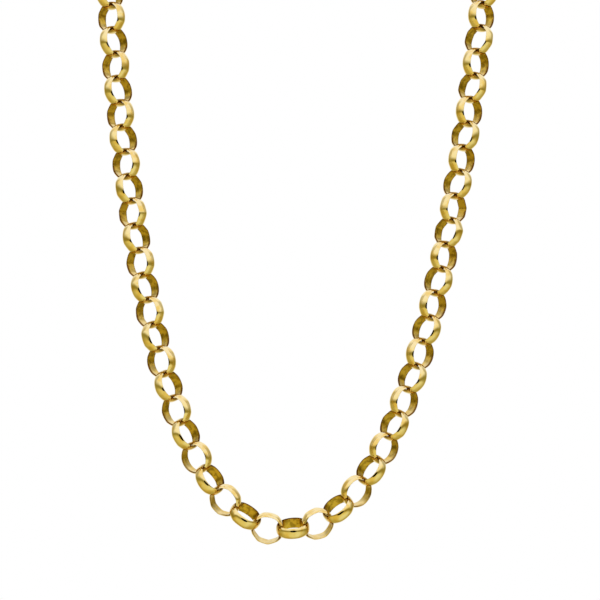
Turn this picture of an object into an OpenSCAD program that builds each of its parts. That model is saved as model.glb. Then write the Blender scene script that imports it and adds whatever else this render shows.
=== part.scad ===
// Rolo chain necklace. Round links of a domed band alternate by a quarter turn. The front
// hangs freely in its own curve, the sides bend back over the collarbones, and the rest runs
// in a half circle round the neck to a plain ring clasp at the nape.
// Millimetres. +Z is up, the nape lies towards +Y and the front hangs towards -Y.
// The origin is at the nape, on the line that runs through the centres of the links.

/* [Link] */
// Outside diameter of a link
link_od = 8.05; // [7.95:0.05:8.15]
// Inside diameter of a link
link_id = 7; // [6.98:0.01:7.1]
// Width of a link's band
band_w = 2.65; // [2.3:0.05:2.65]
// Thickness of the band at its two rims, under the dome
rim_t = 0.15; // [0.15:0.01:0.2]
// Radius of the polished inner edges
edge_r = 0.07; // [0.05:0.01:0.07]

/* [Chain] */
// Distance between the centres of neighbouring links
pitch = 6.24; // [6.2:0.01:6.24]
// Links on each side of the middle one
side_links = 39; // [39:2:43]
// Offset of the middle link from the lowest point, to the right
middle_shift = 2; // [0:0.1:2]
// How far links settle sideways into a bend, in millimetres for each 1/mm of its curvature
settle = 15; // [14.5:0.5:17]

/* [Hang] */
// Radius of the front's curve at its lowest point
front_bend_r = 16; // [16:0.5:20]
// Chain that hangs freely on each side of the lowest point
front_run = 143; // [140:1:145]
// Angle at which the front leans back
front_lean = 10; // [8:1:14]
// Angle from the vertical of the half circle round the neck
neck_lean = 50; // [48:1:52]

/* [Roll] */
// Turn of the links about the chain at the lowest point
roll_bottom = 25; // [24:1:30]
// Turn of the links about the chain, high on the left run
roll_left = 45; // [43:1:47]
// Turn of the links about the chain, high on the right run
roll_right = 43; // [41:1:46]
// Length of chain over which the turn settles
roll_reach = 20; // [15:1:24]

/* [Clasp] */
// Radius of the clasp ring's centre line
clasp_r = 5.2; // [5.1:0.05:5.4]
// Thickness of the clasp ring's barrel
barrel_d = 2.2; // [2:0.05:2.2]
// Thickness of the clasp ring's bolt, which closes the gap in the barrel
bolt_d = 1.5; // [1.3:0.05:1.6]
// Part of the circle that the bolt takes, in degrees
bolt_span = 100; // [80:5:120]
// Radius of the centre line of the eye on the clasp
eye_r = 2.8; // [2.75:0.05:2.9]
// Thickness of the eye's wire
eye_d = 1.3; // [1.1:0.05:1.4]

/* [Hidden] */
$fn = 64;
gold = "#d8b24a";

link_r = link_od / 2;
bore_r = link_id / 2;
half_w = band_w / 2;
quarter = 90;

// Room between the corners of an end link's band and the clasp ring or eye that holds it.
// The eye needs more, because it is small and the link stands askew in it.
ring_play = 0.1;
eye_play = 0.35;
// Reach of a band into a hole of this radius before its corners meet the wall
function band_seat(hole_r) = sqrt(hole_r * hole_r - half_w * half_w);
ring_to_link = band_seat(clasp_r - barrel_d / 2 - ring_play) + bore_r;
eye_to_link = band_seat(eye_r - eye_d / 2 - eye_play) + bore_r;
// The eye is sunk into the barrel by half the thickness of its wire
ring_to_eye = clasp_r + barrel_d / 2 + eye_r;
clasp_span = ring_to_link + ring_to_eye + eye_to_link;

function arc_sinh(u) = ln(u + sqrt(u * u + 1));
function unit(v) = v / norm(v);

// A state is a place on the chain's line, its direction there, the normal that the links'
// turn is counted from, and the bend: a vector towards the bend's centre as long as 1/radius.

// The free hang: at s along the chain it is a asinh(s / a) to the side and sqrt(a^2 + s^2) - a
// up the leaning plane, with a the radius at the lowest point.
function front_state(s) =
    let (slant = sqrt(pow(front_bend_r, 2) + s * s),
         side = front_bend_r * arc_sinh(s / front_bend_r),
         rise = slant - front_bend_r,
         up = s / slant)
    [[side, rise * sin(front_lean), rise * cos(front_lean)],
     [front_bend_r / slant, up * sin(front_lean), up * cos(front_lean)],
     [0, -cos(front_lean), sin(front_lean)],
     front_bend_r / pow(slant, 3) * [-s, front_bend_r * sin(front_lean), front_bend_r * cos(front_lean)]];

// A round bend of radius r from the state at its start towards the direction goal. Its
// plane holds both directions, and the normal turns with the line.
function bend_side(start, goal) = unit(goal - (goal * start[1]) * start[1]);
function bend_state(start, goal, r, travel) =
    let (side = bend_side(start, goal),
         turn = travel / r * 180 / PI,
         lift = start[2] * side)
    [start[0] + r * (sin(turn) * start[1] + (1 - cos(turn)) * side),
     cos(turn) * start[1] + sin(turn) * side,
     start[2] + lift * ((cos(turn) - 1) * side - sin(turn) * start[1]),
     (cos(turn) * side - sin(turn) * start[1]) / r];

// The bend over the collarbone ends in line with the slope of the neck's half circle. Its
// radius follows from the chain's length, and the half circle's from where the bend ends.
front_top = front_state(front_run);
neck_slope = [0, sin(neck_lean), cos(neck_lean)];
inward = [-1, 0, 0];
collar_turn = acos(front_top[1] * neck_slope);
collar_spread = sin(collar_turn) * front_top[1].x
              + (1 - cos(collar_turn)) * bend_side(front_top, neck_slope).x;
side_len = side_links * pitch + clasp_span / 2;
collar_r = (side_len - front_run - front_top[0].x * PI / 2)
         / (collar_turn * PI / 180 + collar_spread * PI / 2);
collar_run = collar_r * collar_turn * PI / 180;
neck_r = front_top[0].x + collar_r * collar_spread;
collar_end = bend_state(front_top, neck_slope, collar_r, collar_run);
nape = bend_state(collar_end, inward, neck_r, neck_r * PI / 2);

// The state at s along the right run, from the lowest point to the nape and past it
function chain_state(s) =
    s < front_run ? front_state(s)
    : s < front_run + collar_run ? bend_state(front_top, neck_slope, collar_r, s - front_run)
    : bend_state(collar_end, inward, neck_r, s - front_run - collar_run);

// The turn of the links grows from roll_bottom at the lowest point to top_roll on the sides
function roll(s, top_roll) = top_roll - (top_roll - roll_bottom) * exp(-s / roll_reach);

// The axis of a ring at a state, turned from the normal towards the outer side
function ring_axis(state, roll_angle) =
    cos(roll_angle) * state[2] + sin(roll_angle) * cross(state[1], state[2]);

// Its centre, moved in a bend along that axis to the inside
function ring_place(state, roll_angle) =
    let (axis = ring_axis(state, roll_angle))
    state[0] - nape[0] + settle * (state[3] * axis) * axis;

// Puts a shape drawn about the Z axis at a state, with its X axis along the chain
module at_state(state, roll_angle) {
    along = state[1];
    axis = ring_axis(state, roll_angle);
    across = cross(axis, along);
    place = ring_place(state, roll_angle);
    multmatrix([[along.x, across.x, axis.x, place.x],
                [along.y, across.y, axis.y, place.y],
                [along.z, across.z, axis.z, place.z],
                [0, 0, 0, 1]])
        children();
}

// Half section of a link: a flat inner wall with rounded edges, thin rims and a round dome
module band_section() {
    crown = link_r - bore_r - rim_t;
    dome_r = (crown * crown + half_w * half_w) / (2 * crown);
    intersection() {
        translate([link_r - dome_r, 0]) circle(dome_r);
        translate([bore_r + edge_r, -half_w]) square([link_r - bore_r, band_w]);
    }
    translate([bore_r, edge_r - half_w]) square([2 * edge_r, band_w - 2 * edge_r]);
    for (rim = [-1, 1])
        translate([bore_r + edge_r, rim * (half_w - edge_r)]) circle(edge_r);
}

module link() {
    rotate_extrude() band_section();
}

// Link number i, counted from the middle link up the right run. Every second link is
// turned by a quarter.
module run_link(i, shift, top_roll) {
    s = i * pitch + shift;
    at_state(chain_state(s), roll(s, top_roll) + (i % 2 == 0 ? quarter : 0)) link();
}

module chain_left() {
    color(gold)
        mirror([1, 0, 0])
            for (i = [1:side_links]) run_link(i, -middle_shift, roll_left);
}

module chain_right() {
    color(gold)
        for (i = [0:side_links]) run_link(i, middle_shift, roll_right);
}

// A stretch of round bar bent in a circle: thickness d, from angle a0 over span degrees
module bent_bar(r, d, a0, span) {
    rotate([0, 0, a0]) rotate_extrude(angle = span) translate([r, 0]) circle(d / 2);
}

// The clasp lies in the middle of the last gap between the end links, in the place of a
// turned link. Its ring holds the left end link and its eye the right one.
module clasp() {
    bolt_start = -bolt_span / 2;
    color(gold)
        at_state(chain_state(side_len + middle_shift), (roll_left + roll_right) / 2 + quarter) {
            translate([eye_to_link - clasp_span / 2, 0, 0]) bent_bar(eye_r, eye_d, 0, 360);
            translate([clasp_span / 2 - ring_to_link, 0, 0]) {
                bent_bar(clasp_r, bolt_d, bolt_start, bolt_span);
                bent_bar(clasp_r, barrel_d, -bolt_start, 360 - bolt_span);
            }
        }
}

chain_left();
chain_right();
clasp();
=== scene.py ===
"""Rolo chain necklace: round links of a polished, domed band, a quarter turn from one to the next.

The links and the clasp are surfaces worked out on grids. They lie where the part's solids lie, in
metres: the origin is at the nape, +Z is up and the front hangs towards -Y.
"""

import bpy
import numpy as np
from mathutils import Matrix


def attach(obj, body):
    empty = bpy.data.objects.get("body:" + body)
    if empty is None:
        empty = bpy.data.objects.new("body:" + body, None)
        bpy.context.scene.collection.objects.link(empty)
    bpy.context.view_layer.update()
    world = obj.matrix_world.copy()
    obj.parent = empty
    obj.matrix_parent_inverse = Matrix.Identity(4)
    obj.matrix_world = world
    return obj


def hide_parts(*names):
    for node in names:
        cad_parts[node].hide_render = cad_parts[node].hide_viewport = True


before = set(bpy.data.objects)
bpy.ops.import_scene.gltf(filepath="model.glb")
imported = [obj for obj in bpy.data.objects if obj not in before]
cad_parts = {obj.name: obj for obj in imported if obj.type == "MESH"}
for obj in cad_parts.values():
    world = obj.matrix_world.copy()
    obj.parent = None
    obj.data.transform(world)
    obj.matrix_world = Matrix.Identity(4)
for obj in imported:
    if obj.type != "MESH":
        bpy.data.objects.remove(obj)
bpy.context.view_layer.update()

MM = 0.001
QUARTER = np.pi / 2

# Link, as in the part's source. Here the dome is flatter in the middle and rounder at its
# shoulders, and the edges are sharper.
LINK_R = 4.025 * MM
BORE_R = 3.5 * MM
HALF_W = 1.325 * MM
DOME_R = 3.5 * MM
DOME_HALF = 0.55 * MM
SHOULDER_R = 1.3 * MM
LIP_R = 0.02 * MM
EDGE_R = 0.015 * MM

# Steps of the grid round a link, and in its section over half the dome, a shoulder and a lip
AROUND = 92
DOME_STEPS = 4
SHOULDER_STEPS = 3
LIP_STEPS = 2

# How far a link's band strays from a true circle: the flats' depth, the pairs of corners, rounded
# down, their uneven spacing, the flats' place at the free sides, and the band's sway. FREE_SIDE is
# where this sets in, by the sine of the angle counted from a neighbour.
FACET_DEPTHS = (0.03 * MM, 0.14 * MM)
FACET_PAIRS = (3, 5)
FACET_WARP = 0.15
FACET_SIDE = (0.38, 0.62)
BAND_SWAY = 0.03 * MM
FREE_SIDE = (0.45, 0.8)

# Where a neighbour lies against the inner wall, by the sine of the same angle. There the wall is
# thicker by this much, so that no light passes between links that touch, and the gold is darkened
# with painted shade.
CONTACT_SIDE = (0.34, 0.47)
CONTACT_SWELL = 0.05 * MM

# Painted shade along the inner wall's front edge: how far it reaches on the wall's upper and lower
# part, where it widens by how far the wall faces up, and where it ends on a side wall that faces up
EDGE_REACH = (0.35 * MM, 0.85 * MM)
EDGE_WIDENS = (0.05, 0.35)
EDGE_ENDS = (0.3, 0.7)

# Painted light on the inner wall: where its darker gold is painted lighter, by how far the wall
# faces up, and by how much
PAINTED_LIGHT_FACING = (0.05, 0.9)
PAINTED_LIGHT_SHARE = 0.6

# Distance between two links in the patterns of the finish, and the start of the random draws
MARKS_APART = 50 * MM
SEED = 5

# Chain, as in the part's source
PITCH = 6.24 * MM
SIDE_LINKS = 39
MIDDLE_SHIFT = 2 * MM
SETTLE = 15 * MM * MM
FRONT_BEND = 16 * MM
FRONT_RUN = 143 * MM
FRONT_LEAN = np.radians(10)
NECK_LEAN = np.radians(50)
ROLL_BOTTOM = np.radians(25)
ROLL_LEFT = np.radians(45)
ROLL_RIGHT = np.radians(43)
ROLL_REACH = 20 * MM

# Clasp, as in the part's source. Here the ends of the barrel and the bolt are rounded over a lip.
CLASP_R = 5.2 * MM
BARREL_D = 2.2 * MM
BOLT_D = 1.5 * MM
BOLT_SPAN = np.radians(100)
EYE_R = 2.8 * MM
EYE_D = 1.3 * MM
RING_PLAY = 0.1 * MM
EYE_PLAY = 0.35 * MM
BAR_LIP = 0.2 * MM

# Steps of the clasp's bars: along, round and in the lip at an end
CLASP_RINGS = 72
CLASP_SIDES = 28
CLASP_LIP_STEPS = 4

INWARD = np.array([-1.0, 0.0, 0.0])
MIRROR = np.array([-1.0, 1.0, 1.0])


def unit(v):
    """A vector divided by its length."""
    return v / np.linalg.norm(v, axis=-1, keepdims=True)


def dot(a, b):
    """The sum of the products along the last axis, kept as a column."""
    return np.sum(a * b, axis=-1, keepdims=True)


def points(*coordinates):
    """Points from arrays of their coordinates."""
    return np.stack(np.broadcast_arrays(*coordinates), axis=-1)


def smooth_step(low, high, x):
    """0 below low, 1 above high, and 3 t^2 - 2 t^3 between them."""
    t = np.clip((x - low) / (high - low), 0, 1)
    return t * t * (3 - 2 * t)


def between(ends, share):
    """The value at this share of the way from the first end to the second."""
    return ends[0] + (ends[1] - ends[0]) * share


# A state is a place on the chain's line, its direction there, the normal that the links' turn is
# counted from, and the bend: a vector towards the bend's centre as long as 1 / radius.


def free_hang(s):
    """At s along the chain it is a asinh(s / a) to the side and sqrt(a^2 + s^2) - a up the
    leaning plane, with a the radius at the lowest point."""
    a = FRONT_BEND
    back, up = np.sin(FRONT_LEAN), np.cos(FRONT_LEAN)
    slant = np.hypot(a, s)
    rise = slant - a
    place = points(a * np.arcsinh(s / a), rise * back, rise * up)
    along = points(a / slant, s / slant * back, s / slant * up)
    normal = points(0 * s, -up, back)
    bend = points(-s, a * back, a * up) * (a / slant**3)[..., None]
    return place, along, normal, bend


def round_bend(start, goal, radius, travel):
    """A circle of that radius from the start towards the goal's direction: start + r (sin t along
    + (1 - cos t) side), with t = travel / r. The normal turns with the line."""
    place, along, normal, _ = start
    side = unit(goal - dot(goal, along) * along)
    turn = (travel / radius)[..., None]
    lift = dot(normal, side)
    sin, cos = np.sin(turn), np.cos(turn)
    return (
        place + radius * (sin * along + (1 - cos) * side),
        cos * along + sin * side,
        normal + lift * ((cos - 1) * side - sin * along),
        (cos * side - sin * along) / radius,
    )


def band_seat(hole_r):
    """Reach of a link's band into a hole of this radius, before its corners meet the wall."""
    return np.sqrt(hole_r**2 - HALF_W**2)


RING_TO_LINK = band_seat(CLASP_R - BARREL_D / 2 - RING_PLAY) + BORE_R
EYE_TO_LINK = band_seat(EYE_R - EYE_D / 2 - EYE_PLAY) + BORE_R
CLASP_SPAN = RING_TO_LINK + CLASP_R + BARREL_D / 2 + EYE_R + EYE_TO_LINK
SIDE_LEN = SIDE_LINKS * PITCH + CLASP_SPAN / 2

# The bend over the collarbone ends in line with the neck's half circle, whose slope is fixed. Its
# radius follows from the chain's length.
FRONT_TOP = free_hang(np.array(FRONT_RUN))
NECK_SLOPE = np.array([0.0, np.sin(NECK_LEAN), np.cos(NECK_LEAN)])
COLLAR_TURN = np.arccos(FRONT_TOP[1] @ NECK_SLOPE)
COLLAR_SIDE = unit(NECK_SLOPE - dot(NECK_SLOPE, FRONT_TOP[1]) * FRONT_TOP[1])
COLLAR_SPREAD = np.sin(COLLAR_TURN) * FRONT_TOP[1][0] + (1 - np.cos(COLLAR_TURN)) * COLLAR_SIDE[0]
COLLAR_R = (SIDE_LEN - FRONT_RUN - FRONT_TOP[0][0] * QUARTER) / (COLLAR_TURN + COLLAR_SPREAD * QUARTER)
COLLAR_RUN = COLLAR_R * COLLAR_TURN
NECK_R = FRONT_TOP[0][0] + COLLAR_R * COLLAR_SPREAD
COLLAR_END = round_bend(FRONT_TOP, NECK_SLOPE, COLLAR_R, COLLAR_RUN)
NAPE = round_bend(COLLAR_END, INWARD, NECK_R, np.array(NECK_R * QUARTER))[0]


def chain_line(s):
    """The states at s along the right run, from the lowest point to the nape and past it."""
    stretches = (
        free_hang(np.minimum(s, FRONT_RUN)),
        round_bend(FRONT_TOP, NECK_SLOPE, COLLAR_R, s - FRONT_RUN),
        round_bend(COLLAR_END, INWARD, NECK_R, s - FRONT_RUN - COLLAR_RUN),
    )
    which = (s >= FRONT_RUN).astype(int) + (s >= FRONT_RUN + COLLAR_RUN)
    return tuple(np.choose(which[:, None], np.broadcast_arrays(*part)) for part in zip(*stretches))


def ring_frames(s, roll):
    """Centres and directions (along, across, axis) of rings at s: the axis is the normal turned
    about the line by the roll, and a bend moves the ring along that axis to its inner side."""
    place, along, normal, bend = chain_line(s)
    turn = roll[:, None]
    axis = np.cos(turn) * normal + np.sin(turn) * np.cross(along, normal)
    centre = place - NAPE + SETTLE * dot(bend, axis) * axis
    return centre, along, np.cross(axis, along), axis


def run_frames(numbers, shift, top_roll):
    """Frames of the links with these numbers, counted up one run. The roll grows from that of the
    lowest point to top_roll as 1 - exp(-s / reach), and even links have a quarter turn more."""
    s = numbers * PITCH + shift
    roll = top_roll - (top_roll - ROLL_BOTTOM) * np.exp(-s / ROLL_REACH)
    return ring_frames(s, roll + QUARTER * (numbers % 2 == 0))


def mirrored(frames):
    """The same frames on the left run, right-handed again."""
    centre, along, _, axis = (part * MIRROR for part in frames)
    return centre, along, np.cross(axis, along), axis


def direction(turn):
    """The (r, z) direction at an angle counted from outwards (+r) towards +z."""
    return points(np.cos(turn), np.sin(turn))


def arc(centre, radius, turns):
    """Points (r, z) of a circle in a section, at these angles."""
    return np.array(centre) + radius * direction(turns)


def band_section():
    """The section of a link's band as a closed loop of (r, z): the flat middle of the dome, its
    rounder shoulder, the round lip and the inner wall, and the same below the middle. The arcs
    join smoothly: the dome ends at the angle whose sine is its half width over its radius, and the
    shoulder at the angle that brings the lip to the band's half width."""
    dome_sin = DOME_HALF / DOME_R
    shoulder_sin = (dome_sin + (HALF_W - LIP_R - DOME_HALF) / SHOULDER_R) / (1 - LIP_R / SHOULDER_R)
    dome_turn, rim_turn = np.arcsin(dome_sin), np.arcsin(shoulder_sin)
    dome_turns = np.linspace(0, dome_turn, DOME_STEPS + 1)[1:]
    dome = arc((LINK_R - DOME_R, 0), DOME_R, dome_turns)
    shoulder_turns = np.linspace(dome_turn, rim_turn, SHOULDER_STEPS + 1)[1:]
    shoulder = arc(dome[-1] - SHOULDER_R * direction(dome_turn), SHOULDER_R, shoulder_turns)
    lip_turns = np.linspace(rim_turn, QUARTER, LIP_STEPS + 1)[1:]
    lip = arc(shoulder[-1] - LIP_R * direction(rim_turn), LIP_R, lip_turns)
    inner_edge = arc((BORE_R + EDGE_R, HALF_W - EDGE_R), EDGE_R, QUARTER * np.array([1.5, 2]))
    wall = points(BORE_R, HALF_W - np.array(EDGE_REACH))
    upper = np.vstack([dome, shoulder, lip, inner_edge, wall])
    lower = upper[::-1] * [1, -1]
    return np.vstack([[[LINK_R, 0]], upper, lower])


def link_grid(frames, section, t, swell, rng):
    """A grid of points (link, around, section) for links at these frames, and each point's place
    in its own link. At angle t a link's radius is less by depth |sin(n (t - phase))|, which leaves
    2 n soft corners with flatter stretches between them, and its band sways along the axis by
    sway sin(2 t). Both fade to nothing where the neighbours pass, at t = 0 and half a turn, and
    there the inner wall swells instead."""
    centre, along, across, axis = (part[:, None, None, :] for part in frames)
    draws = rng.uniform(size=(5, len(centre), 1, 1))
    flat_depth = between(FACET_DEPTHS, draws[0])
    pairs = np.floor(between(FACET_PAIRS, draws[1]))
    warped = t + FACET_WARP * np.sin(t + 2 * np.pi * draws[2])
    place_at_side = np.pi * between(FACET_SIDE, draws[3])
    flats = flat_depth * np.abs(np.sin(pairs * (warped - QUARTER) + place_at_side))
    free = smooth_step(*FREE_SIDE, np.abs(np.sin(t)))
    r = section[:, 0] - free * flats - CONTACT_SWELL * swell
    z = section[:, 1] + free * BAND_SWAY * (2 * draws[4] - 1) * np.sin(2 * t)
    x, y = r * np.cos(t), r * np.sin(t)
    place = centre + x[..., None] * along + y[..., None] * across + z[..., None] * axis
    return place, points(x, y, z + 0 * t)


def link_tones(frames, section, t, inner, near):
    """Tones of the gold on that grid. The first is the share of the duller inner wall, whose darker
    gold is partly painted shade, less where the wall faces up, which is painted light from above. The
    second is the share of the painted shade, the larger of two: the depth into the band where a
    neighbour touches, and along the inner wall's front edge 1 up to half the reach and 0 from the
    reach on, which ends on side walls that face up."""
    _, along, across, axis = (part[:, None, None, :] for part in frames)
    side_up = -np.sin(t) * across[..., 2]
    facing_up = side_up - np.cos(t) * along[..., 2]
    # Painted light: the inner wall's darker gold is lighter where the wall faces up
    dull_wall_and_painted_light = inner * (1 - PAINTED_LIGHT_SHARE * smooth_step(*PAINTED_LIGHT_FACING, facing_up))
    # Painted shade along the inner wall's front edge, and below it where a neighbour touches
    from_edge = HALF_W + section[:, 1] * np.sign(axis[..., 1])
    reach = between(EDGE_REACH, smooth_step(*EDGE_WIDENS, facing_up))
    edge = inner * (1 - smooth_step(reach / 2, reach, from_edge))
    painted_edge_shade = edge * (1 - smooth_step(*EDGE_ENDS, side_up))
    inwards = (LINK_R - section[:, 0]) / (LINK_R - BORE_R)
    return dull_wall_and_painted_light, np.maximum(inwards * near, painted_edge_shade)


def grid_faces(shape, closed_path=True):
    """Quads of grids (shell, path, section) that are closed round the section, with their
    corners in the order path, then section, so that they face outwards."""
    shells, path, loop = shape
    stretches = path if closed_path else path - 1
    counts = (np.arange(shells), np.arange(stretches), np.arange(loop))
    shell, i, j = np.meshgrid(*counts, indexing="ij")
    next_i, next_j = (i + 1) % path, (j + 1) % loop
    corners = [(i, j), (next_i, j), (next_i, next_j), (i, next_j)]
    return np.stack([(shell * path + a) * loop + b for a, b in corners], axis=-1).reshape(-1, 4)


def bent_bar(radius, thickness, first, span, shift):
    """A round bar bent in a circle, from the angle first over the span, moved by shift along the
    chain: points in the clasp's own frame and faces. Towards each end, within a lip's length, its
    half thickness goes from h - lip to h as a quarter circle, and a flat face closes it."""
    half = thickness / 2
    swing = np.linspace(0, QUARTER, CLASP_LIP_STEPS + 1)
    lip_turn = BAR_LIP * (1 - np.cos(swing)) / radius
    lip_half = half - BAR_LIP * (1 - np.sin(swing))
    body = np.linspace(first, first + span, CLASP_RINGS)[1:-1]
    turn = np.concatenate([first + lip_turn, body, (first + span - lip_turn)[::-1]])
    bar = np.concatenate([lip_half, np.full(len(body), half), lip_half[::-1]])
    own = swept_round(radius, turn, bar)
    ring = np.arange(CLASP_SIDES)
    caps = [ring.tolist(), (ring[::-1] + (len(turn) - 1) * CLASP_SIDES).tolist()]
    faces = grid_faces((1, len(turn), CLASP_SIDES), closed_path=False).tolist() + caps
    return own + [shift, 0, 0], faces


def closed_ring(radius, thickness, shift):
    """A whole ring of round bar, moved by shift along the chain: points and faces."""
    turn = np.linspace(0, 2 * np.pi, CLASP_RINGS, endpoint=False)
    own = swept_round(radius, turn, np.full(CLASP_RINGS, thickness / 2))
    return own + [shift, 0, 0], grid_faces((1, CLASP_RINGS, CLASP_SIDES)).tolist()


def swept_round(radius, turn, bar):
    """Points of a circle of radius bar carried round a circle: ((R + b cos p) cos t,
    (R + b cos p) sin t, b sin p)."""
    p = np.linspace(0, 2 * np.pi, CLASP_SIDES, endpoint=False)
    t, b = turn[:, None], bar[:, None]
    r = radius + b * np.cos(p)
    return points(r * np.cos(t), r * np.sin(t), b * np.sin(p)).reshape(-1, 3)


def finish_mesh(name, place, faces, own, dull_wall_and_painted_light, shade, material):
    """A piece from its points and faces. The points keep their place in their own link, in
    millimetres, and the shares of the duller inner wall, painted lighter where it faces up, and of the
    painted shade."""
    mesh = bpy.data.meshes.new(name)
    mesh.from_pydata(place.reshape(-1, 3), [], faces)
    mesh.shade_smooth()
    own_place = mesh.attributes.new("own_place", "FLOAT_VECTOR", "POINT")
    own_place.data.foreach_set("vector", (own / MM).astype(np.float32).ravel())
    for label, values in (("inner_wall_and_painted_light", dull_wall_and_painted_light), ("painted_contact_and_edge_shade", shade)):
        spread = np.broadcast_to(values, place.shape[:-1]).astype(np.float32)
        mesh.attributes.new(label, "FLOAT", "POINT").data.foreach_set("value", spread.ravel())
    mesh.materials.append(material)
    piece = bpy.data.objects.new(name, mesh)
    bpy.context.scene.collection.objects.link(piece)
    return piece


def chain_run(name, frames, rng, material):
    """The links of one run as one piece, on a grid of the angle t round a link, counted from a
    neighbour, and the points of its section. Each link's own places are moved apart, so that no
    two links have the same marks."""
    section = band_section()
    t = np.linspace(0, 2 * np.pi, AROUND, endpoint=False)[None, :, None]
    inner = section[:, 0] < BORE_R + EDGE_R / 2
    near = 1 - smooth_step(*CONTACT_SIDE, np.abs(np.sin(t)))
    place, own = link_grid(frames, section, t, near * inner, rng)
    dull_wall_and_painted_light, shade = link_tones(frames, section, t, inner, near)
    faces = grid_faces(place.shape[:3]).tolist()
    apart = np.arange(len(place))[:, None, None, None] * points(0, 0, MARKS_APART)
    return finish_mesh(name, place, faces, own + apart, dull_wall_and_painted_light, shade, material)


def clasp_piece(name, material):
    """The clasp in the last gap of the chain: a barrel and its bolt in one ring, which holds the
    left end link, and an eye that holds the right one."""
    middle = np.array([SIDE_LEN + MIDDLE_SHIFT])
    centre, *ways = ring_frames(middle, np.array([(ROLL_LEFT + ROLL_RIGHT) / 2 + QUARTER]))
    ring_shift = CLASP_SPAN / 2 - RING_TO_LINK
    parts = (
        closed_ring(EYE_R, EYE_D, EYE_TO_LINK - CLASP_SPAN / 2),
        bent_bar(CLASP_R, BOLT_D, -BOLT_SPAN / 2, BOLT_SPAN, ring_shift),
        bent_bar(CLASP_R, BARREL_D, BOLT_SPAN / 2, 2 * np.pi - BOLT_SPAN, ring_shift),
    )
    firsts = np.cumsum([0] + [len(own) for own, _ in parts])
    faces = []
    for (_, shell), first in zip(parts, firsts):
        faces += [[int(corner + first) for corner in face] for face in shell]
    own = np.vstack([part for part, _ in parts])
    place = centre + own @ np.vstack(ways)
    return finish_mesh(name, place, faces, own, 0, 0, material)


def node(tree, kind, inputs=None, **settings):
    """Adds a node, sets its settings, then its inputs: a socket is linked, a value is put on it."""
    made = tree.nodes.new(kind)
    for label, value in settings.items():
        setattr(made, label, value)
    for label, value in (inputs or {}).items():
        if isinstance(value, bpy.types.NodeSocket):
            tree.links.new(value, made.inputs[label])
        else:
            made.inputs[label].default_value = value
    return made


# Colours of the gold, with that of its painted shade, and how far its surface scatters light:
# outside, and on the duller inner wall, whose darker gold is partly painted shade inside the ring
GOLD = (0.93, 0.72, 0.31, 1)
WARM_GOLD = (0.88, 0.59, 0.15, 1)
INNER_GOLD = (0.66, 0.41, 0.045, 1)
INNER_DULL = (0.37, 0.225, 0.02, 1)
PAINTED_SHADE_GOLD = (0.17, 0.065, 0.006, 1)
WHITE = (1, 1, 1, 1)
ROUGH_OUTSIDE = (0.03, 0.09)
ROUGH_INSIDE = 0.22

# Patterns in the finish, each by its marks a millimetre and its finer layers. The ranges are the
# noise values between which one tone passes into the next.
WARM_PATCHES = (0.6, 2)
WARM_RANGE = (0.42, 0.66)
SCRATCHES = (6, 2)
SCRATCH_RANGE = (0.35, 0.7)
TOOL_MARKS = (0.95, 1)
TOOL_RANGE = (0.42, 0.65)
TOOL_DEPTH = 0.03 * MM
WAVES = (0.55, 0)
WAVE_DEPTH = 0.05 * MM


def ramp(tree, value, low, high, to_low=0, to_high=1):
    """A smooth step of a socket's value from low to high, between two results."""
    inputs = {"Value": value, "From Min": low, "From Max": high, "To Min": to_low, "To Max": to_high}
    return node(tree, "ShaderNodeMapRange", inputs, interpolation_type="SMOOTHSTEP").outputs["Result"]


def noise(tree, place, scale, detail):
    """Noise at a place, by its marks a unit and its finer layers."""
    inputs = {"Vector": place, "Scale": scale, "Detail": detail}
    return node(tree, "ShaderNodeTexNoise", inputs).outputs["Fac"]


def blend(tree, share, first, second, kind="RGBA"):
    """The first value where the share is 0, the second where it is 1."""
    inputs = {"Factor": share, "A": first, "B": second}
    return node(tree, "ShaderNodeMix", inputs, data_type=kind).outputs["Result"]


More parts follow.
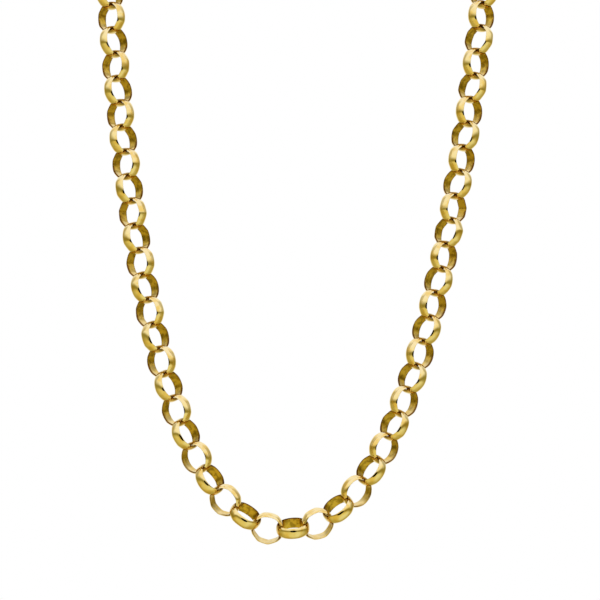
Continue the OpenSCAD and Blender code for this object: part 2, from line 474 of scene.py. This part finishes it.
def gold_finish(name):
    """Polished gold with soft waves and hairline scratches, patches of a warmer gold, and marks of
    the tool on the inner wall. The patterns lie in each link's own place. The inner wall's darker gold
    is partly a duller finish and partly painted shade, and is painted lighter where the wall faces up.
    The painted shade at contacts and along the inner wall's front edge takes the place of both the
    gold's colour and its rim colour."""
    material = bpy.data.materials.new(name)
    material.use_nodes = True
    tree = material.node_tree
    tree.nodes.clear()
    own = node(tree, "ShaderNodeAttribute", attribute_name="own_place").outputs["Vector"]
    # Share of the inner wall's darker, rougher finish, partly painted shade, painted lighter where it
    # faces up
    inner = node(tree, "ShaderNodeAttribute", attribute_name="inner_wall_and_painted_light").outputs["Fac"]
    # Painted shade where neighbours touch and along the inner wall's front edge
    shade = node(tree, "ShaderNodeAttribute", attribute_name="painted_contact_and_edge_shade").outputs["Fac"]

    warmth = ramp(tree, noise(tree, own, *WARM_PATCHES), *WARM_RANGE)
    outside = blend(tree, warmth, GOLD, WARM_GOLD)
    marks = noise(tree, own, *TOOL_MARKS)
    inside = blend(tree, ramp(tree, marks, *TOOL_RANGE), INNER_GOLD, INNER_DULL)
    colour = blend(tree, shade, blend(tree, inner, outside, inside), PAINTED_SHADE_GOLD)
    # The painted shade darkens the rim colour too
    rim = blend(tree, shade, WHITE, PAINTED_SHADE_GOLD)
    scratches = ramp(tree, noise(tree, own, *SCRATCHES), *SCRATCH_RANGE, *ROUGH_OUTSIDE)
    roughness = blend(tree, inner, scratches, ROUGH_INSIDE, "FLOAT")

    wave_relief = {"Height": noise(tree, own, *WAVES), "Strength": 1, "Distance": WAVE_DEPTH}
    waved = node(tree, "ShaderNodeBump", wave_relief).outputs["Normal"]
    tool_relief = {"Height": marks, "Strength": inner, "Distance": TOOL_DEPTH, "Normal": waved}
    relief = node(tree, "ShaderNodeBump", tool_relief).outputs["Normal"]
    look = {
        "Base Color": colour,
        "Metallic": 1,
        "Roughness": roughness,
        "Specular Tint": rim,
        "Normal": relief,
    }
    shader = node(tree, "ShaderNodeBsdfPrincipled", look)
    node(tree, "ShaderNodeOutputMaterial", {"Surface": shader.outputs["BSDF"]})
    return material


rng = np.random.default_rng(SEED)
polished = gold_finish("polished gold")
clasp_gold = gold_finish("clasp gold")

left_numbers = np.arange(1, SIDE_LINKS + 1)
right_numbers = np.arange(SIDE_LINKS + 1)
left_frames = mirrored(run_frames(left_numbers, -MIDDLE_SHIFT, ROLL_LEFT))
right_frames = run_frames(right_numbers, MIDDLE_SHIFT, ROLL_RIGHT)
pieces = (
    (chain_run("left_run_links", left_frames, rng, polished), "chain_left", "polished_gold"),
    (chain_run("right_run_links", right_frames, rng, polished), "chain_right", "polished_gold"),
    (clasp_piece("ring_clasp", clasp_gold), "clasp", "clasp_gold"),
)
for piece, solid, finish in pieces:
    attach(piece, "root")
    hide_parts(solid)


# Light of the studio by direction: a diffuser overhead, which is dimmer in the two high corners
# behind, a dim band at eye height, a pale backdrop behind, and a warm table below, which is
# brighter in front and most of all to the right
TOP_LIGHT = (1.03, 1.09, 1.40, 1)
HIGH_LIGHT = (1.00, 1.04, 1.06, 1)
SIDE_LIGHT = (0.52, 0.52, 0.48, 1)
DIM_BAND = (0.31, 0.28, 0.08, 1)
BACKDROP = (0.88, 0.86, 0.70, 1)
TABLE_LEFT = (0.78, 0.73, 0.34, 1)
TABLE_RIGHT = (0.84, 0.88, 0.64, 1)
TABLE_BACK = (0.45, 0.40, 0.13, 1)

# Where one light passes into the next: by height, then by the way to the sides, then by the way
# back
TOP_EDGE = (0.4, 0.9)
HIGH_EDGE = (0.02, 0.42)
TABLE_EDGE = (-0.38, -0.04)
TABLE_SIDES = (-0.6, 0.6)
SIDE_EDGE = (0.4, 0.8)
TABLE_TURN = (-0.6, 0.4)
BACKDROP_EDGE = (0.5, 0.85)
BEHIND_EDGE = (0, 0.4)


def studio_light():
    """The studio's light as the world's colour. Seen by the camera itself it is plain white."""
    world = bpy.data.worlds.new("studio")
    bpy.context.scene.world = world
    world.use_nodes = True
    tree = world.node_tree
    tree.nodes.clear()
    way = node(tree, "ShaderNodeTexCoord").outputs["Generated"]
    parts = node(tree, "ShaderNodeSeparateXYZ", {"Vector": way}).outputs
    right, back, up = parts["X"], parts["Y"], parts["Z"]
    aside = node(tree, "ShaderNodeMath", {0: right}, operation="ABSOLUTE").outputs[0]
    table_front = blend(tree, ramp(tree, right, *TABLE_SIDES), TABLE_LEFT, TABLE_RIGHT)
    table = blend(tree, ramp(tree, back, *TABLE_TURN), table_front, TABLE_BACK)
    corners = {0: ramp(tree, aside, *SIDE_EDGE), 1: ramp(tree, back, *BEHIND_EDGE)}
    corner = node(tree, "ShaderNodeMath", corners, operation="MULTIPLY").outputs[0]
    overhead = blend(tree, ramp(tree, up, *TOP_EDGE), HIGH_LIGHT, TOP_LIGHT)
    high_half = blend(tree, corner, overhead, SIDE_LIGHT)
    room = blend(tree, ramp(tree, up, *TABLE_EDGE), table, DIM_BAND)
    low_half = blend(tree, ramp(tree, back, *BACKDROP_EDGE), room, BACKDROP)
    colour = blend(tree, ramp(tree, up, *HIGH_EDGE), low_half, high_half)
    studio = node(tree, "ShaderNodeBackground", {"Color": colour, "Strength": 1})
    white = node(tree, "ShaderNodeBackground", {"Color": WHITE, "Strength": 1})
    camera_ray = node(tree, "ShaderNodeLightPath").outputs["Is Camera Ray"]
    lights = {0: camera_ray, 1: studio.outputs[0], 2: white.outputs[0]}
    mixed = node(tree, "ShaderNodeMixShader", lights)
    node(tree, "ShaderNodeOutputWorld", {"Surface": mixed.outputs[0]})


# Floor and card, in metres. The floor turns white between the two distances of FLOOR_FADE. The
# card is the dark front of the camera, which the domes reflect, and the lens lies CARD_SHIFT from
# its middle.
FLOOR_COLOUR = (0.94, 0.90, 0.79, 1)
FLOOR_Z = -0.26
FLOOR_HALF = (1.5, 1.5)
FLOOR_FADE = (0.16, 0.36)
CLOTH_COLOUR = (0.004, 0.004, 0.004, 1)
CARD_HALF = (0.24, 0.2)
CARD_SHIFT = np.array([0, 0.01, 0.07])
DISC_POINTS = 96


def stage_disc(name, centre, normal_turn, half_sizes, material):
    """A flat oval, with half sizes along x and along y, turned about x and moved to its centre."""
    t = np.linspace(0, 2 * np.pi, DISC_POINTS, endpoint=False)
    flat = points(half_sizes[0] * np.cos(t), half_sizes[1] * np.sin(t), 0 * t)
    sin, cos = np.sin(normal_turn), np.cos(normal_turn)
    turned = points(flat[:, 0], flat[:, 1] * cos, flat[:, 1] * sin)
    mesh = bpy.data.meshes.new(name)
    mesh.from_pydata(turned + np.array(centre), [], [range(len(t))])
    mesh.materials.append(material)
    disc = bpy.data.objects.new(name, mesh)
    bpy.context.scene.collection.objects.link(disc)
    return disc


def floor_finish():
    """A pale matt floor that passes into the white surroundings with its distance from the middle."""
    material = bpy.data.materials.new("pale floor")
    material.use_nodes = True
    tree = material.node_tree
    tree.nodes.clear()
    place = node(tree, "ShaderNodeTexCoord").outputs["Object"]
    level_only = {0: place, 1: (1, 1, 0)}
    flat = node(tree, "ShaderNodeVectorMath", level_only, operation="MULTIPLY").outputs[0]
    far = node(tree, "ShaderNodeVectorMath", {0: flat}, operation="LENGTH").outputs["Value"]
    share = ramp(tree, far, *FLOOR_FADE)
    matt = node(tree, "ShaderNodeBsdfDiffuse", {"Color": FLOOR_COLOUR})
    white = node(tree, "ShaderNodeEmission", {"Color": WHITE, "Strength": 1})
    mixed = node(tree, "ShaderNodeMixShader", {0: share, 1: matt.outputs[0], 2: white.outputs[0]})
    node(tree, "ShaderNodeOutputMaterial", {"Surface": mixed.outputs[0]})
    return material


def dark_finish():
    """Dull black cloth for the card round the lens."""
    material = bpy.data.materials.new("black cloth")
    material.use_nodes = True
    tree = material.node_tree
    tree.nodes.clear()
    cloth = node(tree, "ShaderNodeBsdfDiffuse", {"Color": CLOTH_COLOUR})
    node(tree, "ShaderNodeOutputMaterial", {"Surface": cloth.outputs[0]})
    return material


# Camera, fitted to the links' places in the photograph
LENS_PLACE = np.array([-27.4, -676, -130.85]) * MM
LENS_YAW = np.radians(2.801)
LENS_ROLL = np.radians(1.772)
LENS_MM = 149.68
SENSOR_MM = 36

GLOSSY_BOUNCES = 8

studio_light()
floor = stage_disc("floor", (0, 0, FLOOR_Z), 0, FLOOR_HALF, floor_finish())
floor.visible_glossy = False
card = stage_disc("lens_card", LENS_PLACE - CARD_SHIFT, QUARTER, CARD_HALF, dark_finish())
card.visible_camera = False
card.visible_diffuse = False
card.visible_shadow = False

lens = bpy.data.cameras.new("lens")
lens.sensor_width = SENSOR_MM
lens.lens = LENS_MM
camera = bpy.data.objects.new("camera", lens)
forward = np.array([np.sin(LENS_YAW), np.cos(LENS_YAW), 0])
level = np.array([np.cos(LENS_YAW), -np.sin(LENS_YAW), 0])
upright = np.cross(level, forward)
right_way = np.cos(LENS_ROLL) * level + np.sin(LENS_ROLL) * upright
up_way = np.cos(LENS_ROLL) * upright - np.sin(LENS_ROLL) * level
pose = np.eye(4)
pose[:3] = np.column_stack([right_way, up_way, -forward, LENS_PLACE])
camera.matrix_world = Matrix(pose.tolist())
bpy.context.scene.collection.objects.link(camera)
bpy.context.scene.camera = camera

bpy.context.scene.view_settings.view_transform = "Standard"
bpy.context.scene.cycles.glossy_bounces = GLOSSY_BOUNCES
